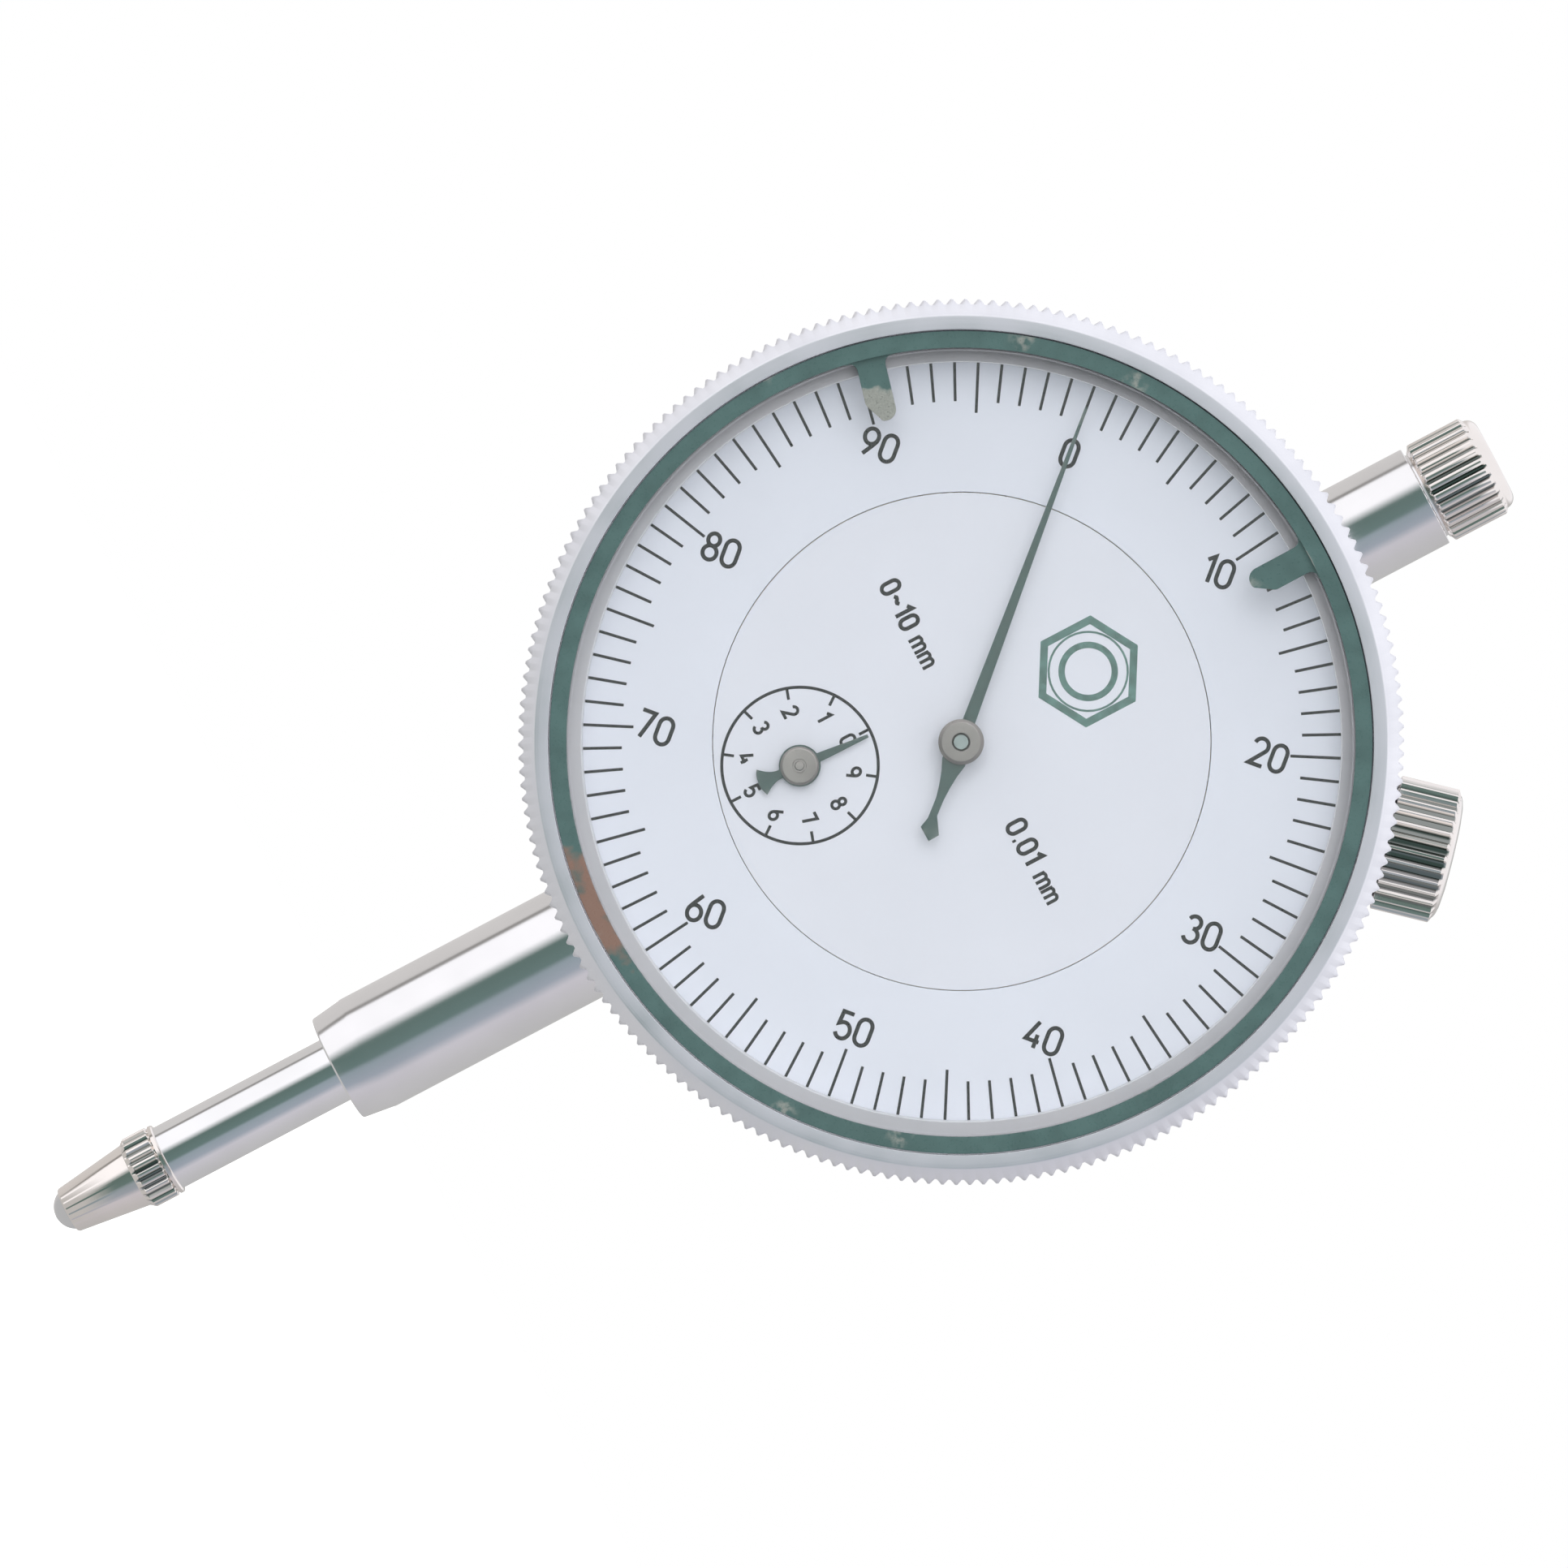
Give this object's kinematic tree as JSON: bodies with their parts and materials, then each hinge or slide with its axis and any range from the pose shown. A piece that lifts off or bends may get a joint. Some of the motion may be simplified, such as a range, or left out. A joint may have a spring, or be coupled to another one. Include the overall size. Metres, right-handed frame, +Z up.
{
  "type": "plunger dial indicator",
  "caption": "Plunger dial indicator with a turning knurled bezel, revolution counter, limit markers, bezel clamp, clamping stem and a lug back.",
  "frame": {"origin": "middle of the stem's clamping cylinder, on the spindle's axis", "axes": "+Z up along the spindle from contact point to dust cap, the dial faces -Y, +X to the right of someone reading the dial"},
  "size_m": [0.058, 0.0378, 0.1083],
  "materials": {
    "satin_case": "satin, fine bead-blasted grain",
    "satin_bezel": "satin anodised, cut V knurl",
    "stem_chrome": "satin chrome plate, fine turning lines",
    "spindle_steel": "ground and polished",
    "nickel": "bright nickel plate over knurling",
    "ball_steel": "polished hardened ball",
    "bronze_bush": "turned bronze",
    "brass_plate": "brushed brass",
    "brass_wheel": "cut brass wheel",
    "jewel": "polished synthetic jewel",
    "screw_steel": "bright zinc-plated steel",
    "arbor_steel": "turned and polished",
    "spring_steel": "drawn spring wire",
    "hairspring_steel": "blued strip",
    "dial_inner_white": "matte white lacquer on a metal disc",
    "dial_ring_white": "matte white lacquer on a metal ring",
    "gasket_rubber": "matte moulded rubber",
    "pointer_teal": "dark blue-green lacquer",
    "hub_nickel": "turned face, satin",
    "crystal_acrylic": "clear polished acrylic",
    "ring_teal": "dark blue-green lacquer, satin",
    "marker_teal": "dark blue-green lacquer, worn at the tip",
    "shoe_steel": "sheared steel plate"
  },
  "bodies": {
    "body": {"case": "satin_case", "stem": "stem_chrome", "stem_bush": "bronze_bush", "top_tube": "stem_chrome", "top_bush": "bronze_bush", "dust_cap": "nickel", "main_plate": "brass_plate", "plate_screws": "screw_steel", "pillars": "brass_plate", "front_bridge": "brass_plate", "bridge_screws": "screw_steel", "pivot_bushes": "jewel", "pinion_cock": "brass_plate", "cock_screw": "screw_steel", "guide_fork": "arbor_steel", "guide_screws": "screw_steel", "spring_post": "screw_steel", "return_spring": "spring_steel", "hairspring": "hairspring_steel", "hairspring_stud": "screw_steel", "dial_plate": "dial_inner_white", "dial_feet": "brass_plate", "back_cover": "satin_case", "cover_gasket": "gasket_rubber", "cover_screws": "screw_steel", "lug": "satin_case", "lug_screws": "screw_steel"},
    "spindle": {"spindle": "spindle_steel", "contact_point": "nickel", "contact_ball": "ball_steel", "guide_pin": "spindle_steel"},
    "revolution_counter": {"rack_pinion": "arbor_steel", "first_wheel": "brass_wheel", "small_pointer": "pointer_teal", "small_pointer_hub": "hub_nickel"},
    "main_hand": {"centre_pinion": "arbor_steel", "main_pointer": "pointer_teal", "main_pointer_hub": "hub_nickel"},
    "takeup": {"takeup_arbor": "arbor_steel", "takeup_wheel": "brass_wheel", "hairspring_collet": "brass_plate"},
    "bezel": {"bezel": "satin_bezel", "dial_ring": "dial_ring_white", "crystal": "crystal_acrylic", "retaining_ring": "ring_teal", "bezel_snap_ring": "spring_steel"},
    "left_marker": {"limit_marker_left": "marker_teal"},
    "right_marker": {"limit_marker_right": "marker_teal"},
    "clamp_shoe": {"clamp_shoe": "shoe_steel"},
    "clamp_knob": {"clamp_screw": "nickel"}
  },
  "joints": [
    {"name": "spindle_slide", "type": "slide", "parent": "body", "child": "spindle", "axis": [0, 0, 1], "range_m": [0, 0.0104], "stiffness_N_per_m": 60, "springref_m": -0.008, "deforming": ["return_spring"]},
    {"name": "revolution_counter_turn", "type": "hinge", "parent": "body", "child": "revolution_counter", "pos_m": [-0.00355, -0.0052, 0.02586], "axis": [0, -1, 0], "range_deg": [0, 375]},
    {"name": "main_hand_turn", "type": "hinge", "parent": "body", "child": "main_hand", "pos_m": [0, -0.0052, 0.036], "axis": [0, 1, 0], "range_deg": [0, 3745]},
    {"name": "takeup_turn", "type": "hinge", "parent": "body", "child": "takeup", "pos_m": [0.00355, -0.0052, 0.04614], "axis": [0, -1, 0], "range_deg": [0, 375], "deforming": ["hairspring"]},
    {"name": "bezel_turn", "type": "hinge", "parent": "body", "child": "bezel", "pos_m": [0, -0.0098, 0.036], "axis": [0, 1, 0], "continuous": true},
    {"name": "left_marker_turn", "type": "hinge", "parent": "bezel", "child": "left_marker", "pos_m": [0, -0.0131, 0.036], "axis": [0, 1, 0], "range_deg": [-110, 32]},
    {"name": "right_marker_turn", "type": "hinge", "parent": "bezel", "child": "right_marker", "pos_m": [0, -0.0131, 0.036], "axis": [0, 1, 0], "range_deg": [-32, 110]},
    {"name": "clamp_shoe_slide", "type": "slide", "parent": "body", "child": "clamp_shoe", "axis": [0.6626, 0, 0.749], "range_m": [0, 0.0005]},
    {"name": "clamp_turn", "type": "hinge", "parent": "clamp_shoe", "child": "clamp_knob", "pos_m": [0.01988, -0.0004, 0.05847], "axis": [0.6626, 0, 0.749], "range_deg": [0, 375]}
  ],
  "couplings": [
    {"joint": "revolution_counter_turn", "follows": "spindle_slide", "rad_per_m": 628.32},
    {"joint": "main_hand_turn", "follows": "spindle_slide", "rad_per_m": 6283.2},
    {"joint": "takeup_turn", "follows": "spindle_slide", "rad_per_m": 628.32},
    {"joint": "clamp_turn", "follows": "clamp_shoe_slide", "rad_per_m": 12566}
  ]
}
